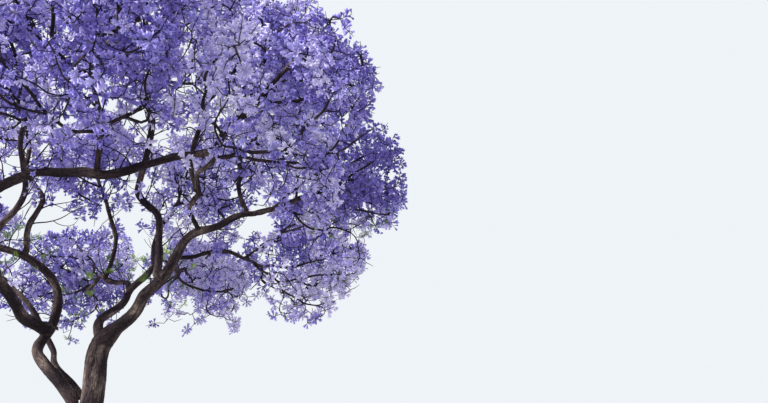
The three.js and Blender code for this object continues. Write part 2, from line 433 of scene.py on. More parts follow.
def in_scene(name, data):
    """A new object of the scene with this mesh, light or camera."""
    item = bpy.data.objects.new(name, data)
    bpy.context.scene.collection.objects.link(item)
    return item


def piece_of(name, mesh, materials):
    """An object that rides on the tree's body, with its materials."""
    piece = in_scene(name, mesh)
    for material in materials:
        mesh.materials.append(material)
    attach(piece, BODY)
    return piece


def values_of(items, key, width, kind=np.float32):
    """One property of a mesh's vertices, edges or faces, a row for each of them."""
    values = np.empty(width * len(items), kind)
    items.foreach_get(key, values)
    return values.reshape(-1, width)


def vertices_of(mesh):
    """The places of a mesh's vertices."""
    return values_of(mesh.vertices, "co", 3).astype(float)


def move_vertices(mesh, points):
    """Puts a mesh's vertices in new places."""
    mesh.vertices.foreach_set("co", points.astype(np.float32).ravel())
    mesh.update()


def as_modified(item):
    """An object's mesh with its modifiers applied. The object itself goes."""
    graph = bpy.context.evaluated_depsgraph_get()
    mesh = bpy.data.meshes.new_from_object(item.evaluated_get(graph))
    bpy.data.objects.remove(item)
    return mesh


def edit(mesh, change, *values):
    """Makes a change to a mesh in its editable form, and leaves it in triangles."""
    work = bmesh.new()
    work.from_mesh(mesh)
    change(work, *values)
    bmesh.ops.triangulate(work, faces=work.faces[:])
    work.to_mesh(mesh)
    work.free()


def noise_way(point):
    """Three values of smooth noise at a point, one for each axis, the same in every run."""
    return np.array([noise.noise(point + Vector(shift)) for shift in NOISE_SHIFTS])


def wandering(points, pitch):
    """A smooth sideways pull at each point, the same in every run."""
    return np.array([noise_way(Vector(point) * pitch) for point in points]).reshape(-1, 3)


# Reading the frame

def surface_of(name):
    """A node's surface as a search tree, and its vertices."""
    mesh = bmesh.new()
    mesh.from_mesh(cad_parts[name].data)
    bmesh.ops.remove_doubles(mesh, verts=mesh.verts, dist=MERGE_DISTANCE)
    tree = BVHTree.FromBMesh(mesh)
    points = np.array([vertex.co for vertex in mesh.verts])
    mesh.free()
    return tree, points


def centred(tree, place, way):
    """The middle of the limb near a place inside it, and the limb's radius there."""
    side = way.orthogonal().normalized()
    other = way.cross(side)
    radius = None
    for _ in range(CENTRING_ROUNDS):
        hits = []
        for i in range(WALK_RAYS):
            turn = 2 * math.pi * i / WALK_RAYS
            ray = side * math.cos(turn) + other * math.sin(turn)
            hit = tree.ray_cast(place, ray, WALK_REACH)[0]
            if hit is not None:
                hits.append(hit)
        if len(hits) < FEWEST_HITS:
            return None, None
        place = sum(hits, Vector()) / len(hits)
        radius = FACET_LOSS * sum((hit - place).length for hit in hits) / len(hits)
    return place, radius


def walked(tree, place, way):
    """Centre points and radii of a limb, from a place just inside one end to its other end."""
    centres, radii = [], []
    for _ in range(MOST_STEPS):
        nearest, normal, _, _ = tree.find_nearest(place)
        if (place - nearest).dot(normal) > 0:
            break
        centre, radius = centred(tree, place, way)
        if centre is None:
            break
        if centres:
            way = (way + (centre - centres[-1]).normalized()).normalized()
        centres.append(centre)
        radii.append(radius)
        place = centre + way * WALK_STEP
    return np.array(centres), np.array(radii)


def longest_way(tree, place, outward):
    """The direction in which a limb runs furthest from a place just inside its end."""
    count = np.arange(FAN_RAYS) + 0.5
    height = 1 - 2 * count / FAN_RAYS
    turn = GOLDEN_TURN * count
    level = np.sqrt(1 - height ** 2)
    fan = np.column_stack([level * np.cos(turn), level * np.sin(turn), height])
    best, way = 0.0, outward
    for ray in fan:
        if ray @ np.array(outward) > FAN_LEAST:
            distance = tree.ray_cast(place, Vector(ray), WALK_REACH)[3] or 0.0
            if distance > best:
                best, way = distance, Vector(ray)
    return way


def read_limb(name, masses):
    """A bough's line from foot to tip, its radii and the mass that it ends in."""
    tree, points = surface_of(name)
    gaps = {
        mass: np.array([masses[mass]["tree"].find_nearest(Vector(point))[3] for point in points])
        for mass in masses
    }
    mass = min(gaps, key=lambda each: gaps[each].min())
    tip = Vector(points[gaps[mass] < gaps[mass].min() + TOUCHING].mean(axis=0))
    outward = masses[mass]["tree"].find_nearest(tip)[1]
    start = tip + outward * TIP_STEP
    way = longest_way(tree, start, outward)
    centres, radii = walked(tree, start + way * WALK_STEP, way)
    clear = max(2, int(round(FOOT_CLEARANCE * radii[-1] / WALK_STEP)))
    centres, radii = centres[:-clear][::-1], radii[:-clear][::-1]
    centres = np.vstack([centres, tip])
    radii = np.append(radii, radii[-1])
    return {
        "name": name,
        "mass": mass,
        "line": smoothed(centres, LINE_SMOOTHING),
        "radii": smoothed(radii, RADIUS_SMOOTHING),
    }


def read_trunk():
    """The trunk's line from the ground to its fork, and its radius at each ring and angle."""
    tree, points = surface_of("trunk")
    ground = points[points[:, 2] < MERGE_DISTANCE].mean(axis=0)
    centres, radii = walked(tree, Vector(ground) + Vector((0, 0, WALK_STEP)), Vector((0, 0, 1)))
    top = points[points[:, 2] > points[:, 2].max() - WALK_STEP].mean(axis=0)
    line = smoothed(np.vstack([ground, centres, top]), LINE_SMOOTHING)
    line, radii = resampled(line, np.concatenate([radii[:1], radii, radii[-1:]]), RING_SPACING)
    _, across, other = frames_along(line)
    shape = np.empty((len(line), TRUNK_SIDES))
    for i in range(len(line)):
        for j, angle in enumerate(even_turns(TRUNK_SIDES)):
            ray = Vector(math.cos(angle) * across[i] + math.sin(angle) * other[i])
            distance = tree.ray_cast(Vector(line[i]), ray, WALK_REACH)[3]
            shape[i, j] = distance if distance else radii[i]
    # Rays at ground level graze the flat cut, so the lowest ring repeats the one above it
    shape[0] = shape[1]
    shape = 0.5 * shape + 0.25 * (np.roll(shape, 1, axis=1) + np.roll(shape, -1, axis=1))
    return {"name": "trunk", "mass": None, "line": line, "radii": radii, "shape": shape}


def read_masses():
    """Each mass of the crown: its surface, its middle and which way is outward from the crown."""
    masses = {}
    for name in sorted(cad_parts):
        if name.startswith("blossom_"):
            tree, points = surface_of(name)
            masses[name] = {"tree": tree, "centre": points.mean(axis=0)}
    middle = np.mean([mass["centre"] for mass in masses.values()], axis=0)
    middle[2] = OPEN_HEIGHT
    for mass in masses.values():
        mass["outward"] = unit(mass["centre"] - middle)
    return masses


def read_limbs(masses):
    """The trunk, then every bough, each with its foot led into the limb that carries it."""
    trunk = read_trunk()
    names = sorted(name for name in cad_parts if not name.startswith("blossom_"))
    boughs = [read_limb(name, masses) for name in names if name != "trunk"]
    limbs = [trunk] + boughs
    walls = {limb["name"]: (limb["line"].copy(), limb["radii"].copy()) for limb in limbs}
    for limb in boughs:
        foot, radius = limb["line"][0], limb["radii"][0]
        depths = {}
        for name, (line, radii) in walls.items():
            if name != limb["name"]:
                depths[name] = np.linalg.norm(line - foot, axis=1) - radii
        parent = min(depths, key=lambda name: depths[name].min())
        core = walls[parent][0][int(np.argmin(depths[parent]))]
        limb["line"] = np.vstack([core, 0.5 * (core + foot), limb["line"]])
        limb["radii"] = np.append([share * radius for share in FOOT_SHARES], limb["radii"])
    return limbs


# Wood

def swayed(limb):
    """The limb's line with the small bends of a grown bough, and its radii with collar and knots."""
    line, radii = resampled(limb["line"], limb["radii"], RING_SPACING)
    along = lengths_along(line)
    fade = np.clip(np.minimum(along, along[-1] - along) / SWAY_FADE, 0, 1)[:, None]
    size = (LIMB_SWAY * radii + LEAST_SWAY)[:, None]
    line = line + fade * (size * wandering(line, SWAY_PITCH) + kinks(along))
    collar = 0 if limb["leads"] else np.exp(-((along / (COLLAR_LENGTH * radii[0])) ** 2))
    knots = np.array([noise.noise(Vector(point) * KNOT_PITCH) for point in line])
    radii = radii * (1 + COLLAR_SWELL * collar + KNOTS * knots)
    return line, radii


def kinks(along):
    """Sideways offsets along a bough, which change direction abruptly where side shoots once left."""
    bends = np.arange(0, along[-1] + KINK_SPACING, KINK_SPACING)
    bends = bends + KINK_UNEVENNESS * KINK_SPACING * rng.uniform(-1, 1, len(bends))
    offsets = KINK * rng.normal(size=(len(bends), 3))
    return smoothed(read_at(along, bends, offsets), KINK_SMOOTHING)


def trunk_tube(trunk, leader):
    """The trunk from a little below the ground to its fork, and on into its thickest bough."""
    line, shape = trunk["line"], trunk["shape"]
    below = line[0] - np.array([0, 0, ROOT_DEPTH])
    ahead, radii = leader
    along = lengths_along(ahead)
    joint = (along > LEADER_START) & (along < LEADER_START + LEADER_OVERLAP * LEADER_BLEND)
    share = np.clip((along[joint] - LEADER_START) / LEADER_BLEND, 0, 1)
    share = share * share * (3 - 2 * share)
    blended = (1 - share) * shape[JOINT_RING].mean() + share * LEADER_INSET * radii[joint]
    rings = np.repeat(blended[:, None], TRUNK_SIDES, axis=1)
    line = np.vstack([below, line[:-1], ahead[joint]])
    shape = np.vstack([shape[:1] * ROOT_SPREAD, shape[:-1], rings])
    return tube(*resampled_rings(line, shape), TRUNK_SIDES)[:2]


def resampled_rings(line, shape):
    """The line, eased, and its rings again at an even spacing."""
    along = lengths_along(line)
    places = np.linspace(0, along[-1], int(along[-1] / RING_SPACING) + 1)
    return smoothed(read_at(places, along, line), LEADER_SMOOTHING), read_at(places, along, shape)


def remeshed(parts):
    """The parts' shells melted into one even skin."""
    vertices, triangles = joined(parts)
    raw = in_scene("wood_raw", mesh_of("wood_raw", vertices, triangles))
    melt = raw.modifiers.new("melt", "REMESH")
    melt.mode = "VOXEL"
    melt.voxel_size = VOXEL
    soften = raw.modifiers.new("soften", "SMOOTH")
    soften.factor = 0.5
    soften.iterations = WOOD_SMOOTHING
    return as_modified(raw)


def cut_at_ground(work):
    """Cuts the wood flat at ground level and closes the cut."""
    everything = work.verts[:] + work.edges[:] + work.faces[:]
    plane = {"plane_co": (0, 0, 0), "plane_no": (0, 0, -1)}
    cut = bmesh.ops.bisect_plane(work, geom=everything, dist=MERGE_DISTANCE, clear_outer=True, **plane)
    edges = [item for item in cut["geom_cut"] if isinstance(item, bmesh.types.BMEdge)]
    bmesh.ops.holes_fill(work, edges=edges)


def ease_forks(mesh, boughs):
    """Smooths the skin where each bough leaves the limb that carries it."""
    points = vertices_of(mesh)
    weights = np.zeros(len(points))
    for bough in boughs:
        reach = FORK_REACH * bough["radii"][OWN_START]
        gap = np.linalg.norm(points - bough["line"][OWN_START], axis=1)
        weights = np.maximum(weights, np.clip(1 + FORK_SOFTNESS - gap / reach, 0, FORK_SOFTNESS))
    near, far = values_of(mesh.edges, "vertices", 2, np.int32).T
    here, there = np.concatenate([near, far]), np.concatenate([far, near])
    count = np.bincount(here, minlength=len(points))
    for _ in range(FORK_ROUNDS):
        sums = [np.bincount(here, points[there, axis], minlength=len(points)) for axis in range(3)]
        points += weights[:, None] * (np.column_stack(sums) / count[:, None] - points)
    move_vertices(mesh, points)


def thinned(mesh, triangles):
    """The mesh with about that many triangles, the most where the relief is strongest."""
    raw = in_scene("wood_thin", mesh)
    raw.modifiers.new("thin", "DECIMATE").ratio = min(1.0, triangles / len(mesh.polygons))
    thin = as_modified(raw)
    bpy.data.meshes.remove(mesh)
    return thin


def leading_run(trunk, leader):
    """The trunk's line and its thickest bough's as one, so that the bark runs on past the fork."""
    ahead, radii = leader
    on = lengths_along(ahead) > LEADER_START
    line = np.vstack([trunk["line"][:-1], ahead[on]])
    widths = np.concatenate([trunk["radii"][:-1], radii[on]])
    line, widths = resampled(line, widths, RING_SPACING)
    widest = FLARE_LIMIT * np.median(trunk["radii"])
    return smoothed(line, LEADER_SMOOTHING), np.minimum(widths, widest)


def limb_stations(lines):
    """Points along every limb, a row for each: place, way, two directions across, radius, distance
    along, and the radius's slope."""
    rows = []
    for index, (line, radii) in enumerate(lines):
        along = lengths_along(line) + LIMB_OFFSET * index
        slope = np.gradient(radii, along)
        rows.append(np.column_stack([line, *frames_along(line), radii, along, slope]))
    return np.vstack(rows)


def station_columns(rows):
    """The seven kinds of value in stations' rows, the first four of them in three columns each."""
    return [rows[:, first: first + 3] for first in (0, 3, 6, 9)] + list(rows[:, 12:].T)


def stations_of(vertices, rows):
    """The number of each vertex's station: the one whose own surface lies nearest."""
    centre, _, _, _, radius, _, _ = station_columns(rows)
    weights = (np.sum(centre ** 2, axis=1) - radius ** 2).astype(np.float32)
    centre = centre.astype(np.float32)
    parts = np.array_split(vertices.astype(np.float32), len(vertices) // SEARCH_BATCH + 1)
    return np.concatenate([np.argmin(weights - 2 * part @ centre.T, axis=1) for part in parts])


def limb_places(vertices, rows):
    """Each vertex's place on its limb as if straightened, and the limb's radius there."""
    nearest = rows[stations_of(vertices, rows)]
    centre, way, across, other, radius, along, slope = station_columns(nearest)
    offset = vertices - centre
    rise, x, y = (np.sum(offset * each, axis=1) for each in (way, across, other))
    reach = np.maximum(np.hypot(x, y), TINY)
    radius = np.maximum(radius + slope * rise, LEAST_SHARE * radius)
    places = np.column_stack([radius * x / reach, radius * y / reach, along + rise])
    return places, radius


def bark_relief(place, radius):
    """How far the bark stands out: broad swellings, long ridges and plates."""
    across = Vector((place[0], place[1], place[2] * LIMB_STRETCH))
    swell = noise.noise(across * SWELL_PITCH)
    warped = across + Vector(noise_way(across * WARP_PITCH)) * WARP_DEPTH
    ridge = 1 - abs(noise.noise(warped * RIDGE_PITCH)) * RIDGE_SHARPNESS
    plates = noise.noise(warped * PLATE_PITCH)
    depth = min(1.0, radius / FULL_RELIEF_RADIUS)
    return SWELL_DEPTH * radius * swell + depth * (RIDGE_DEPTH * (ridge - 0.5) + PLATE_DEPTH * plates)


def halve_trunk_faces(work, top):
    """Halves the faces of the trunk and its forks, where the relief shows most."""
    near = [
        edge for edge in work.edges
        if MERGE_DISTANCE < max(vertex.co.z for vertex in edge.verts) < top
    ]
    bmesh.ops.subdivide_edges(work, edges=near, cuts=1, use_grid_fill=True, smooth=TRUNK_SMOOTHING)


def add_bark(mesh, rows):
    """Moves the skin out and in by the bark's relief, and keeps the cut at the ground flat."""
    vertices = vertices_of(mesh)
    normals = values_of(mesh.vertices, "normal", 3)
    relief = np.array([bark_relief(*limb) for limb in zip(*limb_places(vertices, rows))])
    on_cut = vertices[:, 2] < MERGE_DISTANCE
    flat = np.where(on_cut[:, None], normals * [1, 1, 0], normals)
    moved = vertices + relief[:, None] * flat
    moved[:, 2] = np.where(on_cut, 0.0, np.maximum(moved[:, 2], MERGE_DISTANCE))
    move_vertices(mesh, moved)


def store_places(mesh, places):
    """Keeps the bark places with the mesh, for its material."""
    attribute = mesh.attributes.new("limb_place", "FLOAT_VECTOR", "POINT")
    attribute.data.foreach_set("vector", np.asarray(places, np.float32).ravel())


# Crown

def reach_of(mass, way):
    """How far a mass reaches from its middle along a direction."""
    hit = mass["tree"].ray_cast(Vector(mass["centre"]), Vector(way), MASS_REACH)
    return hit[3] or 0.0


def bulk_of(mass):
    """A measure of the mass's size, from its reach in many directions."""
    ways = unit(np.random.default_rng(SEED).normal(size=(BULK_RAYS, 3)))
    reaches = np.array([reach_of(mass, way) for way in ways])
    return float(np.mean(reaches ** 3)), float(reaches.max())


def targets_in(mass, count, widest):
    """Places for sprays in a mass, and which of them are bare twigs: most near its surface, fewer
    on its inner side, in drifts, and more of them bare on its lower side."""
    found, bare = [], []
    while len(found) < count:
        way = unit(rng.normal(size=3))
        reach = reach_of(mass, way)
        outside = (0.5 + 0.5 * float(way @ mass["outward"])) ** OPEN_POWER
        density = (reach / widest) ** 2 * (INNER_SHARE + (1 - INNER_SHARE) * outside)
        depth = SHELL_DEPTH * rng.random() ** (1 / SHELL_POWER)
        place = mass["centre"] + way * reach * depth
        drift = noise.noise(Vector(place) * DRIFT_PITCH)
        drift = drift + FINE_DRIFT * noise.noise(Vector(place) * FINE_DRIFT_PITCH)
        if rng.random() < density and drift > DRIFT_GAP:
            found.append(place)
            bare.append(rng.random() < BARE_SHARE + LOW_BARE_SHARE * max(0.0, -way[2]))
    return np.array(found), np.array(bare)


def grown(seeds, targets):
    """Lets branches grow from the seeds until each target is near one. Returns the nodes' places
    and parents, and the node that serves each target."""
    places = [np.array(place) for place, _ in seeds]
    ways = [np.array(way) for _, way in seeds]
    parents = [-1] * len(seeds)
    children = [0] * len(seeds)
    gaps = np.linalg.norm(targets[:, None] - np.array(places)[None], axis=2)
    server = np.argmin(gaps, axis=1)
    gap = gaps[np.arange(len(targets)), server]
    for _ in range(GROWTH_ROUNDS):
        waiting = np.flatnonzero(gap > NEAR_ENOUGH)
        if len(waiting) == 0:
            break
        pulled = waiting[gap[waiting] < GROWTH_REACH]
        if len(pulled) == 0:
            pulled = waiting[[int(np.argmin(gap[waiting]))]]
        first_new = len(places)
        for node in np.unique(server[pulled]):
            mine = pulled[server[pulled] == node]
            if children[node] >= MOST_CHILDREN:
                gap[mine] = 0.0
                continue
            pull = unit(unit(targets[mine] - places[node]).sum(axis=0))
            bend = noise_way(Vector(places[node]) * WANDER_PITCH)
            way = unit(pull + MOMENTUM * ways[node] + WANDER * bend + [0, 0, RISE])
            places.append(places[node] + GROWTH_STEP * way)
            ways.append(way)
            parents.append(int(node))
            children[node] += 1
            children.append(0)
        if len(places) == first_new:
            continue
        fresh = np.linalg.norm(targets[:, None] - np.array(places[first_new:])[None], axis=2)
        best = np.argmin(fresh, axis=1)
        nearer = fresh[np.arange(len(targets)), best] < gap
        gap = np.where(nearer, fresh[np.arange(len(targets)), best], gap)
        server = np.where(nearer, best + first_new, server)
    return np.array(places), parents, server


def bent_ways(places, parents, server, targets):
    """Gives every target that lies far from its branch a bend on the way to it."""
    start = places[server]
    gap = np.linalg.norm(targets - start, axis=1)
    far = np.flatnonzero(gap > LONG_TWIG)
    bends = 0.5 * (start[far] + targets[far])
    bends = bends + TWIG_BEND * gap[far, None] * wandering(bends, BEND_PITCH)
    bends = bends + [0, 0, -BEND_SAG] * gap[far, None]
    server = server.copy()
    parents = list(parents) + list(server[far])
    server[far] = len(places) + np.arange(len(far))
    return np.vstack([places, bends]), parents, server


def spray_twigs(places, parents, server, targets, bare):
    """Adds the last two twig steps to each target: out to it, and on through its spray. Returns the
    ways in which the last steps lead as well."""
    places, parents, server = bent_ways(places, parents, server, targets)
    outward = unit(targets - places[server])
    up = np.array([0, 0, 1.0])
    droop = np.where(bare, 0.0, -SPRAY_DROOP)[:, None] * up
    sway = SPRAY_SWAY * rng.normal(size=targets.shape)
    ways = unit(outward + SPRAY_RISE * up + droop + sway)
    reach = np.where(bare, BARE_REACH, SPRAY_REACH) * SPRAY_LENGTH
    ends = targets + ways * reach[:, None]
    first = len(places)
    parents = list(parents) + list(server) + list(range(first, first + len(targets)))
    return np.vstack([places, targets, ends]), parents, ways


def twig_radii(parents, seeds, limb_radii):
    """Radii by the pipe rule, matched at each seed to the limb that it continues."""
    count = np.zeros(len(parents))
    has_child = np.zeros(len(parents), bool)
    root = np.arange(len(parents))
    for i, parent in enumerate(parents):
        if parent >= 0:
            has_child[parent] = True
            root[i] = root[parent]
    count[~has_child] = 1
    for i in range(len(parents) - 1, -1, -1):
        if parents[i] >= 0:
            count[parents[i]] += count[i]
    radii = np.empty(len(parents))
    for seed in range(seeds):
        mine = root == seed
        power = math.log(max(count[seed], 2)) / math.log(limb_radii[seed] / TWIG_RADIUS)
        radii[mine] = TWIG_RADIUS * count[mine] ** (1 / power)
    slow_taper(parents, count, radii)
    radii[~has_child] = TIP_RADIUS
    return radii


def slow_taper(parents, count, radii):
    """Keeps the leading branch from losing its thickness at once where others leave it."""
    heirs = {}
    for i, parent in enumerate(parents):
        if parent >= 0 and (parent not in heirs or count[i] > count[heirs[parent]]):
            heirs[parent] = i
    for i, parent in enumerate(parents):
        if parent >= 0 and heirs[parent] == i and radii[parent] > BRANCH_RADIUS:
            radii[i] = max(radii[i], LEADER_TAPER * radii[parent])


def chains_of(places, parents, radii):
    """The nodes as unbroken branches, each following its thickest child and starting in its parent."""
    children = {}
    for i, parent in enumerate(parents):
        children.setdefault(parent, []).append(i)
    starts = [(None, i) for i in children.get(-1, [])]
    chains = []
    while starts:
        before, node = starts.pop()
        chain = [node] if before is None else [before, node]
        while children.get(node):
            nearest = sorted(children[node], key=lambda each: -radii[each])
            starts.extend((node, other) for other in nearest[1:])
            node = nearest[0]
            chain.append(node)
        line, widths = places[chain], radii[chain].copy()
        if before is not None:
            widths[0] = widths[1]
        chains.append((line, widths))
    return chains


def curved(line, radii, rounds=1):
    """The line and its radii with the corners cut, ends kept."""
    rows = np.column_stack([line, radii])
    for _ in range(rounds):
        near = 0.75 * rows[:-1] + 0.25 * rows[1:]
        far = 0.25 * rows[:-1] + 0.75 * rows[1:]
        middle = np.stack([near, far], axis=1).reshape(-1, rows.shape[1])
        rows = np.vstack([rows[:1], middle[1:-1], rows[-1:]])
    return rows[:, :3].copy(), rows[:, 3].copy()


def shoot(start, way, length, radius):
    """One winding shoot: its line, its radii and its headings."""
    line, ways = [start], [way]
    for _ in range(max(LEAST_STEPS, int(length / SHOOT_STEP))):
        bend = noise_way(Vector(line[-1]) * SHOOT_PITCH)
        way = unit(way + SHOOT_BEND * bend + [0, 0, SHOOT_RISE])
        line.append(line[-1] + SHOOT_STEP * way)
        ways.append(way)
    return np.array(line), np.linspace(radius, TIP_RADIUS, len(line)), ways


def forked_shoot(start, way, length, radius):
    """A shoot and the thinner ones that leave it."""
    line, radii, ways = shoot(start, way, length, radius)
    shoots = [(line, radii, ways)]
    for share in SHOOT_FORKS:
        node = int(share * len(line))
        fork = unit(ways[node] + FORK_SPREAD * rng.normal(size=3))
        shoots.append(shoot(line[node], fork, FORK_LENGTH * length, FORK_RADIUS * radii[node]))
    return shoots


def side_shoots(line, radii):
    """The shoots from the sides of one bough: their chains, the tips that flower with their ways,
    and the other tips."""
    feet, widths = resampled(line, radii, SHOOT_SPACING)
    along, across, other = frames_along(feet)
    chains, tips, ways, others = [], [], [], []
    for i in range(SHOOT_FIRST, len(feet)):
        turn = rng.uniform(0, 2 * math.pi)
        length = SHOOT_LENGTH * rng.uniform(*SHOOT_LENGTHS)
        if feet[i][2] < SHOOT_LOWEST or rng.random() > SHOOT_SHARE:
            continue
        side = math.cos(turn) * across[i] + math.sin(turn) * other[i]
        way = unit(side + SHOOT_LEAN * along[i] + [0, 0, SHOOT_LEAN])
        radius = min(SHOOT_RADIUS, SHOOT_RADIUS_SHARE * widths[i])
        for path, thickness, headings in forked_shoot(feet[i], way, length, radius):
            chains.append((path, thickness))
            if rng.random() < FLOWERING_SHARE and widths[i] < FLOWERING_RADIUS:
                tips.append(path[-1])
                ways.append(unit(headings[-1] + np.array([0, 0, FLOWERING_LIFT])))
            else:
                others.append(path[-1])
    return chains, tips, ways, others


def add_shoots(crown, limbs, lines):
    """Grows the side shoots of every bough and gives their flowering tips to the mass it leads to.
    Returns the tips that don't flower."""
    bare_tips = []
    for limb, (line, radii) in zip(limbs[1:], lines):
        chains, tips, ways, others = side_shoots(line, radii)
        bare_tips += others
        mass = next(mass for mass in crown if mass["name"] == limb["mass"])
        mass["chains"] += chains
        if tips:
            mass["targets"] = np.vstack([mass["targets"], tips])
            mass["ways"] = np.vstack([mass["ways"], ways])
            mass["bare"] = np.append(mass["bare"], np.zeros(len(tips), bool))
    return np.array(bare_tips)


# Blossom

def flower_shape():
    """A flower of unit length along +Z: a tube that widens to a throat, and five spread lobes."""
    turn = even_turns(LOBES)
    throat = level_ring(FLOWER_THROAT, turn, THROAT_HEIGHT)
    tips = level_ring(FLOWER_SPREAD, turn + np.pi / LOBES, LOBE_HEIGHT)
    ring, after = ring_numbers(LOBES)
    walls = np.column_stack([np.zeros(LOBES, int), 1 + after, 1 + ring])
    lobes = np.column_stack([1 + ring, 1 + after, 1 + LOBES + ring])
    return np.vstack([[0, 0, 0], throat, tips]), np.vstack([walls, lobes]), np.repeat([0, 1], LOBES)


def bell_shape():
    """A half-open flower of unit length along +Z: a tube that widens to its mouth."""
    mouth = level_ring(BELL_MOUTH, even_turns(LOBES), 1.0)
    ring, after = ring_numbers(LOBES)
    walls = np.column_stack([np.zeros(LOBES, int), 1 + after, 1 + ring])
    return np.vstack([[0, 0, 0], mouth]), walls, np.zeros(LOBES, int)


def turned_to(ways, spins):
    """Rotation matrices that lead +Z to each direction, after a spin about it."""
    helper = np.where(np.abs(ways[:, 2:]) < STEEP, [[0, 0, 1.0]], [[1.0, 0, 0]])
    x = unit(np.cross(helper, ways))
    y = np.cross(ways, x)
    cos, sin = np.cos(spins)[:, None], np.sin(spins)[:, None]
    return np.stack([cos * x + sin * y, -sin * x + cos * y, ways], axis=2)


def placed(shape, ways, spins, sizes, origins):
    """Copies of a shape's vertices, turned, sized and moved, and their triangles."""
    vertices, triangles = shape
    matrices = turned_to(ways, spins)
    moved = np.einsum("nij,vj->nvi", matrices, vertices) * sizes[:, None, None] + origins[:, None]
    steps = len(vertices) * np.arange(len(origins))[:, None, None]
    return moved.reshape(-1, 3), (triangles[None] + steps).reshape(-1, 3)


def flowers_along(shape_rng, flower, count, length, run):
    """Flowers of one kind round a spray's stalk, over a run of it. Each one's narrow end starts on
    the stalk."""
    vertices, triangles, parts = flower
    low, high = run
    share = low + (high - low) * (np.arange(count) + shape_rng.random(count)) / count
    turn = FLOWER_TURN * np.arange(count) + shape_rng.normal(0, TURN_CHANCE, count)
    wide = SPRAY_WIDTH * (1 - SPRAY_TAPER * share) * shape_rng.uniform(*SPRAY_SPREAD, count)
    out = level_ring(1.0, turn, 0.0)
    up = np.array([0, 0, 1.0])
    origins = out * wide[:, None] + up * (SPRAY_LENGTH * (share - SPRAY_FOOT))[:, None]
    ways = unit(out + FLOWER_LIFT * up + FLOWER_TILT * shape_rng.normal(size=(count, 3)))
    sizes = length * shape_rng.uniform(*FLOWER_SIZES, count)
    spins = shape_rng.uniform(0, 2 * np.pi, count)
    moved, faces = placed((vertices, triangles), ways, spins, sizes, origins)
    feet = np.clip(origins[:, 2] - STALK_DROP * wide, 0, STALK_SHARE * SPRAY_LENGTH)
    moved[::len(vertices)] = feet[:, None] * up
    return moved, faces, np.tile(parts, count)


def spray_shape(shape_rng):
    """A loose panicle along +Z: open flowers round its stalk, and half-open ones up to its tip."""
    opened = flowers_along(shape_rng, flower_shape(), OPEN_FLOWERS, FLOWER_LENGTH, OPEN_RUN)
    bells = flowers_along(shape_rng, bell_shape(), BELLS, BELL_LENGTH, BELL_RUN)
    return joined([opened, bells])


def tint_of(place, chance):
    """The number of a spray's tint: drifts of paler and deeper blossom, with strays."""
    drifts = (depth * noise.noise(Vector(place) * pitch) for depth, pitch in TINT_DRIFTS)
    level = sum(drifts, 0.5) + TINT_CHANCE * (chance - 0.5)
    return int(np.clip(level * len(TINTS), 0, len(TINTS) - 1))


def blossom_parts(targets, ways, kinds):
    """The sprays of one mass as vertices, triangles and slots."""
    parts = []
    which = rng.integers(0, len(kinds), len(targets))
    spins = rng.uniform(0, 2 * np.pi, len(targets))
    sizes = rng.uniform(*SPRAY_SIZES, len(targets))
    tints = np.array([tint_of(place, rng.random()) for place in targets])
    for number, (vertices, triangles, flower_part) in enumerate(kinds):
        mine = np.flatnonzero(which == number)
        if len(mine) == 0:
            continue
        shape = (vertices, triangles)
        moved, faces = placed(shape, ways[mine], spins[mine], sizes[mine], targets[mine])
        slots = (2 * tints[mine])[:, None] + flower_part[None]
        parts.append((moved, faces, slots.ravel()))
    return joined(parts)


# Young leaves and pods

def leaf_shape():
    """A twice-cut feathery leaf along +Z, as a stalk with narrow side leaflets in pairs."""
    vertices, triangles = [], []
    first_share, run = PINNA_RUN
    least_arch, arch = PINNA_ARCH
    for pair in range(PINNA_PAIRS):
        share = first_share + run * pair / (PINNA_PAIRS - 1)
        length = PINNA_LENGTH * math.sin(math.pi * (least_arch + arch * share))
        for side in (-1, 1):
            base = np.array([0, -LEAF_DROOP * share ** 2, share])
            tip = base + np.array([side * length, -PINNA_DROOP, PINNA_SWEEP * length])
            wide = PINNA_WIDTH * np.array([-0.5 * side, 0, 1.0])
            first = len(vertices)
            vertices += [base, 0.5 * (base + tip) + wide, tip, 0.5 * (base + tip) - wide]
            triangles += [[first, first + 1, first + 2], [first, first + 2, first + 3]]
    first = len(vertices)
    vertices += [[-STALK_WIDTH, 0, 0], [STALK_WIDTH, 0, 0], [0, -LEAF_DROOP, 1.0]]
    triangles += [[first, first + 1, first + 2]]
    return np.array(vertices, float), np.array(triangles)


def pod_shape():
    """A flat, round, slightly wavy seed pod of unit radius, hung by its edge from the origin."""
    turn = even_turns(POD_SIDES)
    rim = np.column_stack([POD_WIDTH * np.sin(turn), POD_WAVE * np.cos(2 * turn), -1 - np.cos(turn)])
    vertices = np.vstack([rim, [0, POD_BULGE, -1], [0, -POD_BULGE, -1]])
    ring, after = ring_numbers(POD_SIDES)
    front = np.column_stack([ring, after, np.full(POD_SIDES, POD_SIDES)])
    back = np.column_stack([after, ring, np.full(POD_SIDES, POD_SIDES + 1)])
    return vertices, np.vstack([front, back])


# Materials

def plain(name, colour, roughness=0.6, sheen=0.0, gloss=0.25, painted_glow=0.0):
    """A material of one base colour, for things dealt out by the spray; given a strength, it also glows
    in that colour as painted light.
    """
    material = bpy.data.materials.new(name)
    material.use_nodes = True
    shader = material.node_tree.nodes["Principled BSDF"]
    shader.inputs["Base Color"].default_value = (*colour, 1)
    shader.inputs["Roughness"].default_value = roughness
    shader.inputs["Specular IOR Level"].default_value = gloss
    if sheen:
        shader.inputs["Sheen Weight"].default_value = sheen
        shader.inputs["Sheen Roughness"].default_value = 0.5
    if painted_glow:
        # Painted light: the surface glows in its own colour, though it is no lamp
        shader.inputs["Emission Color"].default_value = (*colour, 1)
        shader.inputs["Emission Strength"].default_value = painted_glow
    return material


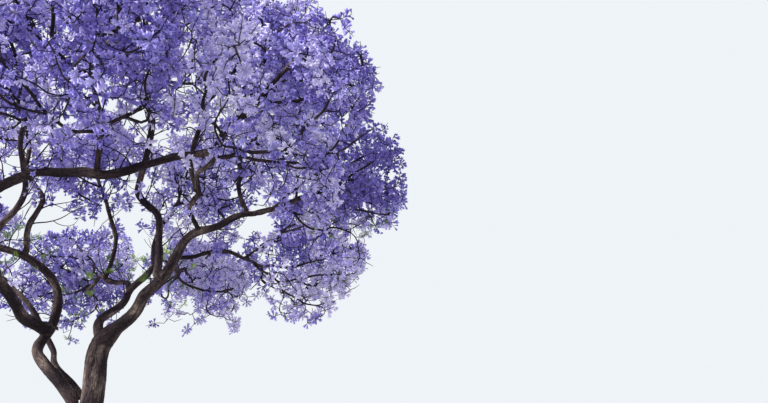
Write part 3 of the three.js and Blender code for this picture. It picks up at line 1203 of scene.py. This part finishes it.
def blossom_materials():
    """A material for the tubes and one for the lobes of every tint."""
    materials = []
    for number, colours in enumerate(TINTS, start=1):
        for (part, finish), colour in zip(FLOWER_FINISH.items(), colours):
            materials.append(plain(f"blossom_{part}_{number}", colour, *finish, painted_glow=PETAL_PAINTED_GLOW))
    return materials


def ramp(node_tree, value, stops):
    """A colour that a value picks from a ramp with these (position, colour) stops."""
    node = node_tree.nodes.new("ShaderNodeValToRGB")
    elements = node.color_ramp.elements
    while len(elements) < len(stops):
        elements.new(0.5)
    for element, (position, colour) in zip(elements, stops):
        element.position = position
        element.color = (*colour, 1)
    node_tree.links.new(value, node.inputs["Fac"])
    return node.outputs["Color"]


def multiplied(node_tree, first, second, factor):
    """One colour multiplied by another, as far as the factor says."""
    node = node_tree.nodes.new("ShaderNodeMix")
    node.data_type = "RGBA"
    node.blend_type = "MULTIPLY"
    node.inputs["Factor"].default_value = factor
    node_tree.links.new(first, node.inputs["A"])
    node_tree.links.new(second, node.inputs["B"])
    return node.outputs["Result"]


def noise_in(node_tree, place, scale, detail, roughness):
    """Smooth noise over a place in the bark."""
    node = node_tree.nodes.new("ShaderNodeTexNoise")
    node.inputs["Scale"].default_value = scale
    node.inputs["Detail"].default_value = detail
    node.inputs["Roughness"].default_value = roughness
    node_tree.links.new(place, node.inputs["Vector"])
    return node.outputs["Fac"]


def plates_in(node_tree, place):
    """The distance from the edge of the bark's plate."""
    node = node_tree.nodes.new("ShaderNodeTexVoronoi")
    node.feature = "DISTANCE_TO_EDGE"
    node.inputs["Scale"].default_value = PLATE_SCALE
    node_tree.links.new(place, node.inputs["Vector"])
    return node.outputs["Distance"]


def bark_bump(node_tree, grain, plates):
    """The normals of the bark's grain and plates."""
    height = node_tree.nodes.new("ShaderNodeMath")
    height.operation = "MULTIPLY_ADD"
    height.inputs[1].default_value = GRAIN_SHARE
    node_tree.links.new(grain, height.inputs[0])
    node_tree.links.new(plates, height.inputs[2])
    bump = node_tree.nodes.new("ShaderNodeBump")
    bump.inputs["Strength"].default_value = BUMP_STRENGTH
    bump.inputs["Distance"].default_value = BUMP_DISTANCE
    node_tree.links.new(height.outputs["Value"], bump.inputs["Height"])
    return bump.outputs["Normal"]


def bark_material():
    """Bark in grey tan and dark purplish brown: broad patches, long fissures, plates and grain."""
    material = bpy.data.materials.new("bark")
    material.use_nodes = True
    node_tree = material.node_tree
    shader = node_tree.nodes["Principled BSDF"]
    limb_place = node_tree.nodes.new("ShaderNodeAttribute")
    limb_place.attribute_name = "limb_place"
    stretch = node_tree.nodes.new("ShaderNodeMapping")
    stretch.inputs["Scale"].default_value = (1, 1, LIMB_STRETCH)
    node_tree.links.new(limb_place.outputs["Vector"], stretch.inputs["Vector"])
    place = stretch.outputs["Vector"]

    patches = noise_in(node_tree, place, *PATCH_NOISE)
    grain = noise_in(node_tree, place, *GRAIN_NOISE)
    plates = plates_in(node_tree, place)
    base = ramp(node_tree, patches, BARK_PATCHES)
    mottled = multiplied(node_tree, base, ramp(node_tree, grain, BARK_MOTTLE), 1)
    cracks = ramp(node_tree, plates, BARK_CRACKS)
    colour = multiplied(node_tree, mottled, cracks, CRACK_FACTOR)
    node_tree.links.new(colour, shader.inputs["Base Color"])

    rough = node_tree.nodes.new("ShaderNodeMapRange")
    rough.inputs["To Min"].default_value, rough.inputs["To Max"].default_value = BARK_ROUGHNESS
    node_tree.links.new(grain, rough.inputs["Value"])
    node_tree.links.new(rough.outputs["Result"], shader.inputs["Roughness"])
    node_tree.links.new(bark_bump(node_tree, grain, plates), shader.inputs["Normal"])
    shader.inputs["Specular IOR Level"].default_value = BARK_GLOSS
    return material


# Putting the tree together

def bough_lines(limbs):
    """Every bough's line and radii as grown, and the number of the one that the trunk leads into."""
    leader = max(range(1, len(limbs)), key=lambda each: limbs[each]["radii"][OWN_START]) - 1
    for number, limb in enumerate(limbs[1:]):
        limb["leads"] = number == leader
    return [swayed(limb) for limb in limbs[1:]], leader


def wood_pieces(limbs, lines, leader, heavy, bark):
    """The trunk and boughs as one skin with the bark's relief, split at the fork's height."""
    trunk, boughs = limbs[0], limbs[1:]
    parts = [trunk_tube(trunk, lines[leader])]
    parts += [tube(line, radii + SKIN_LOSS, BOUGH_SIDES)[:2] for line, radii in lines]
    parts += [tube(line, radii + SKIN_LOSS, RUN_SIDES)[:2] for line, radii in heavy]
    mesh = remeshed(parts)
    ease_forks(mesh, boughs)
    edit(mesh, cut_at_ground)
    fork = trunk["line"][-1][2]
    edit(mesh, halve_trunk_faces, fork)
    leading = leading_run(trunk, lines[leader])
    rows = limb_stations([leading] + lines[:leader] + lines[leader + 1:] + heavy)
    add_bark(mesh, rows)
    mesh = thinned(mesh, WOOD_TRIANGLES)
    store_places(mesh, limb_places(vertices_of(mesh), rows)[0])
    split_wood(mesh, fork, bark, [limb["name"] for limb in boughs])


def corner_normals(points, normals, triangles):
    """A normal for each triangle's corners: the skin's own, but straight down on the cut at the
    ground, which takes no part in the normals round its rim."""
    on_rim = points[:, 2] < RIM_HEIGHT
    on_cut = on_rim[triangles].all(axis=1)
    sides = triangles[~on_cut]
    first, second, third = (points[sides[:, corner]] for corner in range(3))
    sums = np.full(points.shape, TINY)
    for corner in range(3):
        np.add.at(sums, sides[:, corner], np.cross(second - first, third - first))
    corners = np.where(on_rim[:, None], unit(sums), normals)[triangles]
    corners[on_cut] = [0, 0, -1]
    return corners.reshape(-1, 3)


def split_wood(mesh, height, bark, bough_names):
    """Two pieces, the trunk below the fork and the boughs above it, with one run of normals."""
    triangles = values_of(mesh.polygons, "vertices", 3, np.int32)
    points = vertices_of(mesh)
    normals = values_of(mesh.vertices, "normal", 3)
    places = values_of(mesh.attributes["limb_place"].data, "vector", 3)
    middle = points[triangles].mean(axis=1)
    low = (middle[:, 2] < height) & (np.hypot(middle[:, 0], middle[:, 1]) < TRUNK_REACH)
    for name, chosen, nodes in (("trunk_bark", low, ["trunk"]), ("bough_bark", ~low, bough_names)):
        used, renumbered = np.unique(triangles[chosen], return_inverse=True)
        part = mesh_of(name, points[used], renumbered.reshape(-1, 3))
        store_places(part, places[used])
        part.normals_split_custom_set(corner_normals(points, normals, triangles[chosen]))
        piece = piece_of(name, part, [bark])
        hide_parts(*nodes)
    bpy.data.meshes.remove(mesh)


def grow_crown(masses, limbs):
    """Grows the branches of every mass. Returns each mass's chains, and the places and directions of
    its sprays, with those that are bare."""
    bulks = {name: bulk_of(mass) for name, mass in masses.items()}
    total = sum(bulk for bulk, _ in bulks.values())
    crown = []
    for name, mass in masses.items():
        bulk, widest = bulks[name]
        targets, bare = targets_in(mass, int(round(SPRAYS * bulk / total)), widest)
        carriers = [limb for limb in limbs if limb["mass"] == name]
        tips = [limb["line"][-1] for limb in carriers]
        seeds = [(tip, unit(tip - limb["line"][-TIP_POINTS])) for tip, limb in zip(tips, carriers)]
        places, parents, server = grown(seeds, targets)
        places, parents, ways = spray_twigs(places, parents, server, targets, bare)
        radii = twig_radii(parents, len(seeds), [limb["radii"][-1] for limb in carriers])
        chains = chains_of(places, parents, radii)
        crown.append({"name": name, "chains": chains, "targets": targets, "ways": ways, "bare": bare})
    return crown


def heavy_runs(chains):
    """The thick beginnings of the branches, which join the wood's skin."""
    runs = []
    for line, radii in chains:
        thick = int(np.sum(radii > HEAVY_RADIUS))
        if thick > LEAST_RUN:
            runs.append(curved(line[: thick + 1], radii[: thick + 1], rounds=2))
    return runs


def twig_pieces(chains, bark):
    """Branches with bark, and the twigs, each kind joined."""
    materials = [plain(name, colour, TWIG_ROUGHNESS) for name, colour in TWIG_COLOURS.items()]
    branches, twigs = [], []
    for line, radii in chains:
        thick = int(np.sum(radii > BRANCH_RADIUS))
        if thick > LEAST_RUN:
            run, widths = curved(line[: thick + 1], radii[: thick + 1])
            sides = STOUT_SIDES if widths[0] > STOUT_BRANCH else BRANCH_SIDES
            branches.append(tube(run, widths, sides, closed=False))
            line, radii = line[thick - 1:], radii[thick - 1:]
        if len(line) > 1:
            vertices, triangles, _ = tube(line, radii, TWIG_SIDES, closed=False)
            tint = int(rng.random() * len(materials))
            twigs.append((vertices, triangles, np.full(len(triangles), tint)))
    vertices, triangles, places = joined(branches)
    mesh = mesh_of("branches", vertices, triangles)
    store_places(mesh, places)
    piece_of("branches", mesh, [bark])
    piece_of("twigs", mesh_of("twigs", *joined(twigs)), materials)


def blossom_pieces(crown):
    """The blossom in a few pieces, each standing for the masses whose sprays it holds."""
    materials = blossom_materials()
    shape_rng = np.random.default_rng(SEED + 1)
    kinds = [spray_shape(shape_rng) for _ in range(SPRAY_KINDS)]
    waiting, names, number, size = [], [], 1, 0

    def finish_piece():
        """Makes one piece of the sprays that wait."""
        label = f"blossom_{number}"
        piece = piece_of(label, mesh_of(label, *joined(waiting)), materials)
        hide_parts(*names)

    for mass in crown:
        part = blossom_parts(mass["targets"][~mass["bare"]], mass["ways"][~mass["bare"]], kinds)
        if size + len(part[1]) > PIECE_TRIANGLES:
            finish_piece()
            waiting, names, number, size = [], [], number + 1, 0
        waiting.append(part)
        names.append(mass["name"])
        size += len(part[1])
    finish_piece()


def leaf_piece(ends, bare_tips):
    """Tufts of young leaves, low in the crown and on low shoots."""
    low = ends[ends[:, 2] < np.quantile(ends[:, 2], LOW_SHARE)]
    tufts = []
    for patch in low[rng.choice(len(low), LEAF_PATCHES, replace=False)]:
        gaps = np.linalg.norm(low - patch, axis=1)
        tufts.append(low[np.argsort(gaps)[: 2 * TUFTS_IN_PATCH : 2]])
    low_shoots = bare_tips[np.argsort(bare_tips[:, 2])[:LEAFY_SHOOTS]]
    tufts = np.vstack(tufts + [low_shoots])
    origins = np.repeat(tufts, LEAVES_IN_TUFT, axis=0)
    ways = unit(rng.normal(size=origins.shape) + [0, 0, LEAF_LIFT])
    sizes = LEAF_LENGTH * rng.uniform(*LEAF_SIZES, len(origins))
    spins = rng.uniform(0, 2 * np.pi, len(origins))
    leaf = leaf_shape()
    vertices, triangles = placed(leaf, ways, spins, sizes, origins)
    tints = np.repeat(rng.integers(0, len(LEAF_COLOURS), len(tufts)), LEAVES_IN_TUFT * len(leaf[1]))
    materials = [plain(name, colour, LEAF_ROUGHNESS) for name, colour in LEAF_COLOURS.items()]
    piece_of("leaves", mesh_of("leaves", vertices, triangles, tints), materials)


def pod_piece(ends):
    """Last year's pods, which hang from the twigs."""
    hung = ends[rng.choice(len(ends), PODS, replace=False)]
    spins = rng.uniform(0, 2 * np.pi, PODS)
    ways = unit(np.array([0, 0, 1.0]) + POD_TILT * rng.normal(size=hung.shape))
    sizes = POD_RADIUS * rng.uniform(*POD_SIZES, PODS)
    vertices, triangles = placed(pod_shape(), ways, spins, sizes, hung)
    piece_of("pods", mesh_of("pods", vertices, triangles), [plain("pod", POD_COLOUR, POD_ROUGHNESS)])


def add_light(name, come_from, strength, softness):
    """A soft, distant light from a direction."""
    light = bpy.data.lights.new(name, "SUN")
    light.energy = strength
    light.color = SUN_COLOUR
    light.angle = math.radians(softness)
    in_scene(name, light).rotation_euler = Vector(come_from).to_track_quat("Z", "Y").to_euler()


def make_floor():
    """A wide, round, pale floor."""
    rim = level_ring(FLOOR_RADIUS, even_turns(FLOOR_SIDES), 0.0)
    faces = np.column_stack([np.full(FLOOR_SIDES, FLOOR_SIDES), *ring_numbers(FLOOR_SIDES)])
    mesh = mesh_of("floor", np.vstack([rim, [0, 0, 0]]), faces)
    mesh.materials.append(plain("floor", FLOOR_COLOUR, 1.0, gloss=0.0))
    in_scene("floor", mesh)


def make_camera():
    """The camera at the photo's eye level."""
    lens = bpy.data.cameras.new("camera")
    lens.sensor_width = SENSOR_WIDTH
    lens.lens = LENS
    lens.clip_end = 2 * FLOOR_RADIUS
    camera = in_scene("camera", lens)
    camera.location = EYE
    camera.rotation_euler = (math.radians(90 + LOOK_UP), 0, math.radians(-LOOK_RIGHT))
    bpy.context.scene.camera = camera


def make_stage():
    """Pale floor and sky, a sun from the upper left, a softer low light beside it, and the camera."""
    bpy.context.scene.view_settings.view_transform = "Standard"
    world = bpy.data.worlds.new("sky")
    bpy.context.scene.world = world
    world.use_nodes = True
    sky = world.node_tree.nodes["Background"]
    sky.inputs["Color"].default_value = (*SKY_COLOUR, 1)
    sky.inputs["Strength"].default_value = SKY_STRENGTH
    add_light("sun", SUN_FROM, SUN_STRENGTH, SUN_SOFTNESS)
    add_light("side_light", SIDE_FROM, SIDE_STRENGTH, SIDE_SOFTNESS)
    make_floor()
    make_camera()


def make_tree():
    """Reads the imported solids, grows the tree on them and makes its pieces."""
    masses = read_masses()
    limbs = read_limbs(masses)
    crown = grow_crown(masses, limbs)
    lines, leader = bough_lines(limbs)
    bare_tips = add_shoots(crown, limbs, lines)
    chains = [chain for mass in crown for chain in mass["chains"]]
    bark = bark_material()
    wood_pieces(limbs, lines, leader, heavy_runs(chains), bark)
    twig_pieces(chains, bark)
    blossom_pieces(crown)
    ends = np.vstack([mass["targets"] for mass in crown])
    leaf_piece(ends, bare_tips)
    pod_piece(ends)


make_stage()
make_tree()
